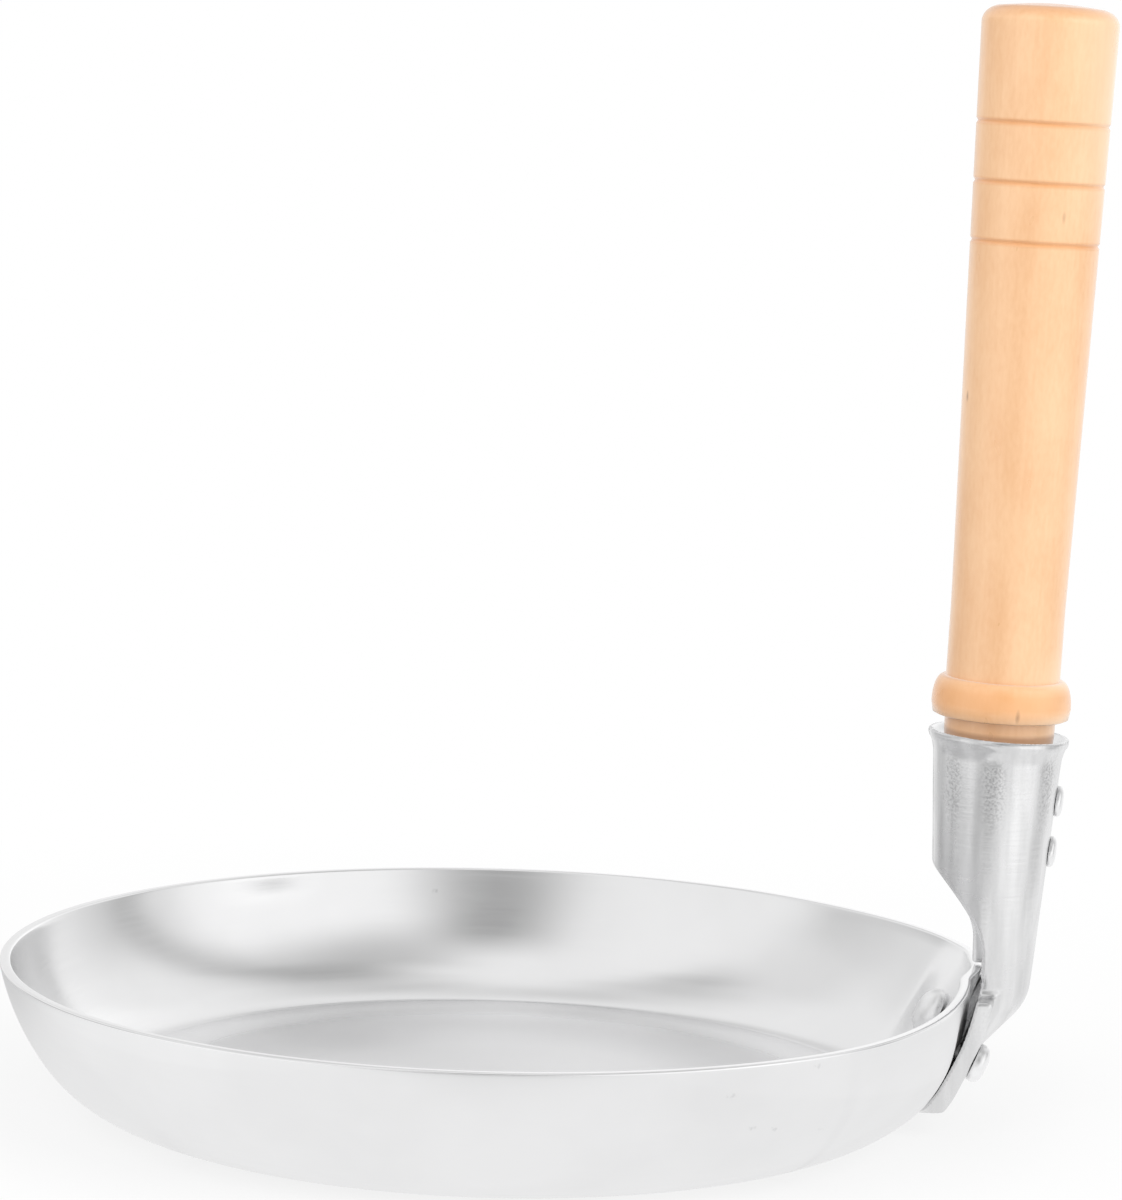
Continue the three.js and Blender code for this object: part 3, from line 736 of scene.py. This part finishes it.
def ranged(tree, value, from_low, from_high, to_low, to_high):
    inputs = {0: value, 1: from_low, 2: from_high, 3: to_low, 4: to_high}
    return add(tree, "ShaderNodeMapRange", inputs, clamp=True).outputs[0]


def noise(tree, vector, scale, detail=2.0):
    inputs = {"Vector": vector, "Scale": scale, "Detail": detail}
    return add(tree, "ShaderNodeTexNoise", inputs).outputs["Fac"]


def vector_math(tree, operation, *values):
    return add(tree, "ShaderNodeVectorMath", dict(enumerate(values)), operation=operation)


def stretched(tree, vector, x, y, z):
    return vector_math(tree, "MULTIPLY", vector, (x, y, z)).outputs[0]


def away_from(tree, vector, point):
    return vector_math(tree, "SUBTRACT", vector, Vector(point) * MM).outputs[0]


def length_of(tree, vector):
    return vector_math(tree, "LENGTH", vector).outputs["Value"]


def color_mix(tree, share, low, high):
    node = add(tree, "ShaderNodeMix", data_type="RGBA")
    for socket, value in ((node.inputs[0], share), (node.inputs[6], low), (node.inputs[7], high)):
        if isinstance(value, bpy.types.NodeSocket):
            tree.links.new(value, socket)
        else:
            socket.default_value = value
    return node.outputs[2]


def hump(tree, value, low, high, fade):
    """1 between low and high, falling smoothly to 0 over the fade on either side."""
    off = math_node(tree, "ABSOLUTE", math_node(tree, "SUBTRACT", value, (low + high) / 2))
    inputs = {0: off, 1: (high - low) / 2, 2: (high - low) / 2 + fade, 3: 1, 4: 0}
    return add(tree, "ShaderNodeMapRange", inputs, interpolation_type="SMOOTHSTEP").outputs[0]


def new_material(name):
    material = bpy.data.materials.new(name)
    material.use_nodes = True
    tree = material.node_tree
    return material, tree, tree.nodes["Principled BSDF"]


def grey(level):
    return (level, level, level * 1.005, 1)


def bump(tree, height, strength, distance):
    inputs = {"Height": height, "Strength": strength, "Distance": distance * MM}
    return add(tree, "ShaderNodeBump", inputs).outputs[0]


def dish_coordinates(tree):
    place = add(tree, "ShaderNodeTexCoord").outputs["Object"]
    parts = add(tree, "ShaderNodeSeparateXYZ", {0: place})
    flat = add(tree, "ShaderNodeCombineXYZ", {0: parts.outputs[0], 1: parts.outputs[1]}).outputs[0]
    radius = length_of(tree, flat)
    angle = math_node(tree, "ARCTAN2", parts.outputs[1], parts.outputs[0])
    return place, radius, angle, parts.outputs[2]


def dish_metal(name, level, rough_low, rough_high, anisotropy, line_strength, floor_satin_and_painted_light, marks):
    """Spun aluminium with fine turning lines, duller on the floor, lighter toward the floor's middle as
    painted light and shade, and marked at a few points.
    """
    material, tree, shader = new_material(name)
    place, radius, angle, height = dish_coordinates(tree)
    spun = add(tree, "ShaderNodeCombineXYZ", {
        0: math_node(tree, "MULTIPLY", radius, 900),
        1: math_node(tree, "MULTIPLY", height, 900),
        2: math_node(tree, "MULTIPLY", angle, 2.5),
    }).outputs[0]
    lines = noise(tree, spun, 2.0, 3)
    cloud = noise(tree, place, 45, 3)
    flakes = noise(tree, place, 1400, 2)
    shader.inputs["Metallic"].default_value = 1
    shader.inputs["Anisotropic"].default_value = anisotropy
    tangent = add(tree, "ShaderNodeTangent", direction_type="RADIAL", axis="Z").outputs[0]
    tree.links.new(tangent, shader.inputs["Tangent"])
    tone = color_mix(tree, ranged(tree, cloud, 0.35, 0.65, 0, 1), grey(level - 0.02), grey(level + 0.02))
    on_floor = ranged(tree, radius, 0.054, 0.059, floor_satin_and_painted_light, 0)
    # Painted light and shade: the floor is lighter toward its middle and darker toward its corner with
    # the wall
    floor_middle_painted_light = ranged(tree, radius, 0.035, 0.053, floor_satin_and_painted_light * 3.5, 0)
    tone = color_mix(tree, floor_middle_painted_light, tone, grey(0.985))
    for mark in marks:
        away = length_of(tree, stretched(tree, away_from(tree, place, mark), 0.45, 0.45, 1))
        away = math_node(tree, "ADD", away, ranged(tree, flakes, 0.35, 0.65, 0, 0.0006))
        tone = color_mix(tree, ranged(tree, away, 0.0001, 0.0007, 0.3, 0), tone, grey(0.4))
    tree.links.new(tone, shader.inputs["Base Color"])
    rough = ranged(tree, cloud, 0.3, 0.7, rough_low, rough_high)
    rough = math_node(tree, "ADD", rough, ranged(tree, lines, 0.3, 0.7, -0.02, 0.02))
    rough = math_node(tree, "ADD", rough, on_floor)
    tree.links.new(rough, shader.inputs["Roughness"])
    tree.links.new(bump(tree, lines, line_strength, 0.05), shader.inputs["Normal"])
    return material


def bracket_metal(name):
    """Pressed satin aluminium, streaked along its height, hammered in strips under the lip, with painted
    light on its far-facing side.
    """
    material, tree, shader = new_material(name)
    place = add(tree, "ShaderNodeTexCoord").outputs["Object"]
    parts = add(tree, "ShaderNodeSeparateXYZ", {0: place})
    height = parts.outputs[2]
    off_axis = math_node(tree, "SUBTRACT", parts.outputs[0], axis_x(SOCKET_TOP - 8) * MM)
    around = math_node(tree, "DEGREES", math_node(tree, "ARCTAN2", parts.outputs[1], off_axis))
    strip = 0.0
    for middle in HAMMERED_STRIPS:
        low, high = middle - HAMMERED_HALF_WIDTH, middle + HAMMERED_HALF_WIDTH
        strip = math_node(tree, "MAXIMUM", strip, hump(tree, around, low, high, HAMMERED_FADE))
    peel = noise(tree, place, 2400, 2)
    cloud = noise(tree, place, 130, 3)
    streaks = noise(tree, stretched(tree, place, 380, 380, 40), 1, 3)
    wrinkles = noise(tree, stretched(tree, place, 150, 150, 1700), 1, 2)
    upper = ranged(tree, height, 0.049, 0.056, 0.12, 1)
    upper = math_node(tree, "MULTIPLY", upper, ranged(tree, height, 0.0605, 0.0625, 1, 0.15))
    hammered = math_node(tree, "MULTIPLY", upper, ranged(tree, strip, 0, 1, 0.15, 1))
    shader.inputs["Metallic"].default_value = 1
    tone = color_mix(tree, ranged(tree, streaks, 0.35, 0.65, 0, 1), grey(0.68), grey(0.8))
    pitted = math_node(tree, "MULTIPLY", hammered, ranged(tree, peel, 0.38, 0.54, 0.48, 0))
    tone = color_mix(tree, pitted, tone, grey(0.35))
    # Painted light: faces that turn toward +Y, the far side, are given a lighter tone
    normal = add(tree, "ShaderNodeNewGeometry").outputs["Normal"]
    far_side_painted_light = add(tree, "ShaderNodeSeparateXYZ", {0: normal}).outputs[1]
    tone = color_mix(tree, ranged(tree, far_side_painted_light, 0.1, 0.6, 0, 1), tone, grey(0.95))
    tree.links.new(tone, shader.inputs["Base Color"])
    tree.links.new(ranged(tree, cloud, 0.3, 0.7, 0.22, 0.3), shader.inputs["Roughness"])
    relief = math_node(tree, "MULTIPLY", peel, hammered)
    relief = math_node(tree, "ADD", relief, math_node(tree, "MULTIPLY", cloud, 0.9))
    relief = math_node(tree, "ADD", relief, math_node(tree, "MULTIPLY", wrinkles, 0.45))
    tree.links.new(bump(tree, relief, 0.5, 0.12), shader.inputs["Normal"])
    return material


def fastener_metal(name, level):
    material, tree, shader = new_material(name)
    place = add(tree, "ShaderNodeTexCoord").outputs["Object"]
    cloud = noise(tree, place, 500, 3)
    shader.inputs["Metallic"].default_value = 1
    tone = color_mix(tree, ranged(tree, cloud, 0.35, 0.65, 0, 1), grey(level - 0.04), grey(level + 0.04))
    tree.links.new(tone, shader.inputs["Base Color"])
    tree.links.new(ranged(tree, cloud, 0.3, 0.7, 0.26, 0.36), shader.inputs["Roughness"])
    tree.links.new(bump(tree, cloud, 0.15, 0.2), shader.inputs["Normal"])
    return material


def handle_wood(name):
    """Pale lacquered wood with its grain along the leaning handle, a painted highlight on its outward
    side near both ends, painted shade on the neck and a painted shadow where it meets the lip.
    """
    material, tree, shader = new_material(name)
    row_place = add(tree, "ShaderNodeTexCoord").outputs["Object"]
    leaning = {"Vector": row_place, "Location": HANDLE_FOOT, "Rotation": (0, HANDLE_LEAN, 0)}
    place = add(tree, "ShaderNodeMapping", leaning, vector_type="TEXTURE").outputs[0]
    parts = add(tree, "ShaderNodeSeparateXYZ", {0: place})
    height = parts.outputs[2]
    broad = noise(tree, stretched(tree, place, 170, 170, 14), 1, 3)
    fine = noise(tree, stretched(tree, place, 1300, 1300, 60), 1, 2)
    blotch = noise(tree, stretched(tree, place, 120, 120, 60), 1, 3)
    mottle = noise(tree, stretched(tree, place, 1500, 1500, 600), 1, 2)
    grain = math_node(tree, "MULTIPLY_ADD", broad, 0.26, math_node(tree, "MULTIPLY", blotch, 0.4))
    grain = math_node(tree, "MULTIPLY_ADD", fine, 0.12, grain)
    grain = math_node(tree, "MULTIPLY_ADD", mottle, 0.22, grain)
    tone = color_mix(tree, ranged(tree, grain, 0.4, 0.6, 0, 1), WOOD_DEEP, WOOD_LIGHT)
    for middle in GROOVES:
        off = math_node(tree, "ABSOLUTE", math_node(tree, "SUBTRACT", height, middle * MM))
        tone = color_mix(tree, ranged(tree, off, 0.0001, 0.0008, 0.65, 0), tone, WOOD_IN_GROOVE)
    # Painted highlight: paler wood on the outward side, toward the top of the grip and low down by the
    # bead
    outward = ranged(tree, parts.outputs[0], 0.002, 0.009, 0, 0.55)
    upper = ranged(tree, height, (GRIP_END - 40) * MM, (GRIP_END - 15) * MM, 0, 1)
    lower = ranged(tree, height, GRIP_START * MM, (GRIP_START + 6) * MM, 1, 0)
    pale = math_node(tree, "MULTIPLY", outward, math_node(tree, "MAXIMUM", upper, lower))
    tone = color_mix(tree, pale, tone, WOOD_PAINTED_HIGHLIGHT)
    # Darker toward the end of the grip
    darker_end = ranged(tree, height, (GRIP_END - END_ROUNDING * 0.8) * MM, GRIP_END * MM, 0, 0.85)
    tone = color_mix(tree, darker_end, tone, WOOD_AT_END)
    shoulder = math_node(tree, "SUBTRACT", height, (NECK_LENGTH + BEAD_LENGTH * 0.55) * MM)
    shoulder = ranged(tree, math_node(tree, "ABSOLUTE", shoulder), 0.001, 0.0035, 0.7, 0)
    tone = color_mix(tree, shoulder, tone, WOOD_ON_BEAD)
    # Painted shade: the neck, recessed between the bead and the lip, is darker
    neck = ranged(tree, height, NECK_LENGTH * MM, (NECK_LENGTH + 0.4) * MM, 0.35, 0)
    tone = color_mix(tree, neck, tone, WOOD_NECK_PAINTED_SHADE)
    # Painted shadow: a dark line on the wood just above the lip, where the two meet
    lip_contact_shadow = ranged(tree, height, 0.0002, 0.0009, 0.6, 0)
    tone = color_mix(tree, lip_contact_shadow, tone, WOOD_LIP_SHADOW)
    for *fleck, length in FLECKS:
        away = length_of(tree, stretched(tree, away_from(tree, place, fleck), 1, 1, 0.35 / length))
        tone = color_mix(tree, ranged(tree, away, 0.0001, 0.0005, 0.6, 0), tone, WOOD_FLECK)
    tree.links.new(tone, shader.inputs["Base Color"])
    tree.links.new(ranged(tree, blotch, 0.3, 0.7, 0.26, 0.36), shader.inputs["Roughness"])
    shader.inputs["Specular IOR Level"].default_value = 0.8
    shader.inputs["Coat Weight"].default_value = 0.6
    shader.inputs["Coat Roughness"].default_value = 0.16
    tree.links.new(bump(tree, fine, 0.04, 0.1), shader.inputs["Normal"])
    return material


# Pieces

pieces = [
    (bowl(), "pan_bowl", "bowl_aluminium"),
    (bracket(), "handle_bracket", "bracket_aluminium"),
    (rivet("rivet_near", NEAR), "pan_rivet_near", "rivet_aluminium"),
    (rivet("rivet_far", FAR), "pan_rivet_far", "rivet_aluminium"),
    (handle(), "wooden_handle", "handle_wood"),
    (nail("nail_upper", NAIL_DROPS[0]), "handle_nail_upper", "rivet_aluminium"),
    (nail("nail_lower", NAIL_DROPS[1]), "handle_nail_lower", "rivet_aluminium"),
]
for piece, node, slot in pieces:
    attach(piece, "root")
    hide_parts(node)

# The photo's metal shows nothing of the wood
bpy.data.objects["handle"].visible_glossy = False

# Studio: white surroundings, a pale floor that keeps the shadow, soft lamps

# What polished metal sees: azimuth from the camera's side toward +X with its half width and fade,
# then lowest and highest elevation with their fade, all in degrees, and the change in level.
# A least-squares fit to tones of the photo's dish gave these numbers, which were then rounded.
SURROUNDINGS = (
    (2, 1, 30, 19, 45, 19.5, -0.59),
    (48, 36, 7.5, -20, 30, 24, 0.10),
    (65, 24, 40, 57, 61, 21.5, -0.39),
    (-101, 1, 36, 57, 64, 13.5, -0.20),
    (-110, 20, 9, -20, 2, 25.5, -0.42),
    (-134, 32, 30, 68, 69, 16, -0.24),
    (116, 32, 40, 70, 71, 20, -0.34),
    (182, 14, 6.5, 30, 42, 14.5, -0.28),
    (138, 30, 22, -20, 19, 30, 0.21),
    (-97, 6.5, 22.5, 22, 43, 12, -0.13),
    (-83, 4, 13, 54, 57, 15, -0.34),
    (62, 1, 16.5, 7, 14, 12.5, 0.29),
    (110, 1, 29, -20, 12, 19, -0.29),
    (106.5, 1, 8, -20, 19.5, 21, -0.30),
    (100.5, 1, 9, 32, 33, 21.5, -0.35),
    (121.5, 14.5, 12.5, 3, 24, 27.5, -0.15),
    (93.5, 1, 13, 45, 47, 21, -0.24),
)
SURROUNDINGS_LEVEL = 0.9

# What upright metal and lacquer see on the floor, by azimuth round the handle's foot: painted shade and
# painted light in the floor's glow for mirror rays
FLOOR_PAINTED_SHADE_AND_LIGHT = (
    (-20, 10, 14, -0.43),
    (48, 14, 22, 0.3),
    (-62, 8, 18, 0.08),
    (92, 8, 14, -0.3),
    (-116, 14, 20, -0.28),
)
PLAIN_LEVEL = 0.85
FLOOR_REACH = 3000


def azimuth_of(tree, x, y):
    toward_camera = math_node(tree, "MULTIPLY", y, -1)
    return math_node(tree, "DEGREES", math_node(tree, "ARCTAN2", x, toward_camera))


def wrapped(tree, azimuth, middle):
    return math_node(tree, "WRAP", math_node(tree, "SUBTRACT", azimuth, middle), 180, -180)


def mirror_rays(tree, path):
    return math_node(tree, "MAXIMUM", path.outputs["Is Glossy Ray"], path.outputs["Is Transmission Ray"])


def studio_world():
    world = bpy.data.worlds.new("studio")
    bpy.context.scene.world = world
    world.use_nodes = True
    tree = world.node_tree
    path = add(tree, "ShaderNodeLightPath")
    direction = add(tree, "ShaderNodeTexCoord").outputs["Generated"]
    parts = add(tree, "ShaderNodeSeparateXYZ", {0: direction})
    azimuth = azimuth_of(tree, parts.outputs[0], parts.outputs[1])
    elevation = math_node(tree, "DEGREES", math_node(tree, "ARCSINE", parts.outputs[2]))
    level = SURROUNDINGS_LEVEL
    for middle, half, fade, low, high, climb_fade, change in SURROUNDINGS:
        across = hump(tree, wrapped(tree, azimuth, middle), -half, half, fade)
        climb = hump(tree, elevation, low, high, climb_fade)
        share = math_node(tree, "MULTIPLY", across, climb)
        factor = math_node(tree, "ADD", math_node(tree, "MULTIPLY", share, change), 1)
        level = math_node(tree, "MULTIPLY", level, factor)
    mirrored = mirror_rays(tree, path)
    plain = math_node(tree, "MULTIPLY", math_node(tree, "SUBTRACT", 1, mirrored), PLAIN_LEVEL)
    level = math_node(tree, "ADD", plain, math_node(tree, "MULTIPLY", mirrored, level))
    level = math_node(tree, "MAXIMUM", level, path.outputs["Is Camera Ray"])
    tree.links.new(level, tree.nodes["Background"].inputs["Strength"])
    tree.nodes["Background"].inputs["Color"].default_value = (1, 1, 1, 1)


def studio_floor():
    reach = FLOOR_REACH
    points = [(-reach, -reach, 0), (reach, -reach, 0), (reach, reach, 0), (-reach, reach, 0)]
    floor = new_object("floor", points, [(0, 1, 2, 3)])
    material, tree, shader = new_material("pale_floor")
    shader.inputs["Base Color"].default_value = (0.85, 0.85, 0.85, 1)
    shader.inputs["Roughness"].default_value = 0.9
    shader.inputs["Specular IOR Level"].default_value = 0
    path = add(tree, "ShaderNodeLightPath")
    mirrored = mirror_rays(tree, path)
    place = add(tree, "ShaderNodeTexCoord").outputs["Object"]
    camera_ray = path.outputs["Is Camera Ray"]
    whiter = ranged(tree, length_of(tree, place), 0.09, 0.25, 0.75, 1)
    share = math_node(tree, "MAXIMUM", mirrored, math_node(tree, "MULTIPLY", camera_ray, whiter))
    from_handle = away_from(tree, place, (axis_x(RIM_TOP), 0, 0))
    far = length_of(tree, from_handle)
    parts = add(tree, "ShaderNodeSeparateXYZ", {0: from_handle})
    azimuth = azimuth_of(tree, parts.outputs[0], parts.outputs[1])
    # Painted shade and light: the floor's glow for mirror rays is darker or lighter in zones round the
    # handle's foot
    level = 1.0
    for middle, half, fade, change in FLOOR_PAINTED_SHADE_AND_LIGHT:
        across = hump(tree, wrapped(tree, azimuth, middle), -half, half, fade)
        zone = math_node(tree, "MULTIPLY", across, ranged(tree, far, 0.12, 0.2, 0, change))
        level = math_node(tree, "MULTIPLY", level, math_node(tree, "ADD", zone, 1))
    level = math_node(tree, "MAXIMUM", math_node(tree, "MULTIPLY", mirrored, level), camera_ray)
    glow = add(tree, "ShaderNodeEmission", {"Color": (1, 1, 1, 1), "Strength": level}).outputs[0]
    blend = add(tree, "ShaderNodeMixShader", {0: share, 1: shader.outputs[0], 2: glow}).outputs[0]
    tree.links.new(blend, tree.nodes["Material Output"].inputs["Surface"])
    floor.data.materials.append(material)


def lamp(name, place, aim, width, height, power):
    light = bpy.data.lights.new(name, "AREA")
    light.shape = "RECTANGLE"
    light.size = width
    light.size_y = height
    light.energy = power
    shape = bpy.data.objects.new(name, light)
    shape.location = place
    shape.rotation_euler = (Vector(aim) - Vector(place)).to_track_quat("-Z", "Y").to_euler()
    shape.visible_glossy = False
    bpy.context.scene.collection.objects.link(shape)


def camera():
    data = bpy.data.cameras.new("camera")
    data.sensor_fit = "VERTICAL"
    data.sensor_height = CAMERA_SENSOR
    data.lens = CAMERA_LENS
    shape = bpy.data.objects.new("camera", data)
    level = Matrix.Rotation(math.pi / 2 - CAMERA_PITCH, 4, "X")
    shape.matrix_world = Matrix.Translation(CAMERA_PLACE) @ level @ Matrix.Rotation(CAMERA_ROLL, 4, "Z")
    bpy.context.scene.collection.objects.link(shape)
    bpy.context.scene.camera = shape


studio_world()
studio_floor()
lamp("soft_left", (-0.6, -0.7, 0.8), (0.02, 0, 0.05), 0.9, 0.9, 4)
lamp("soft_right", (0.8, -0.6, 0.7), (0.02, 0, 0.05), 0.9, 0.9, 5)
camera()
bpy.context.scene.view_settings.view_transform = "Standard"
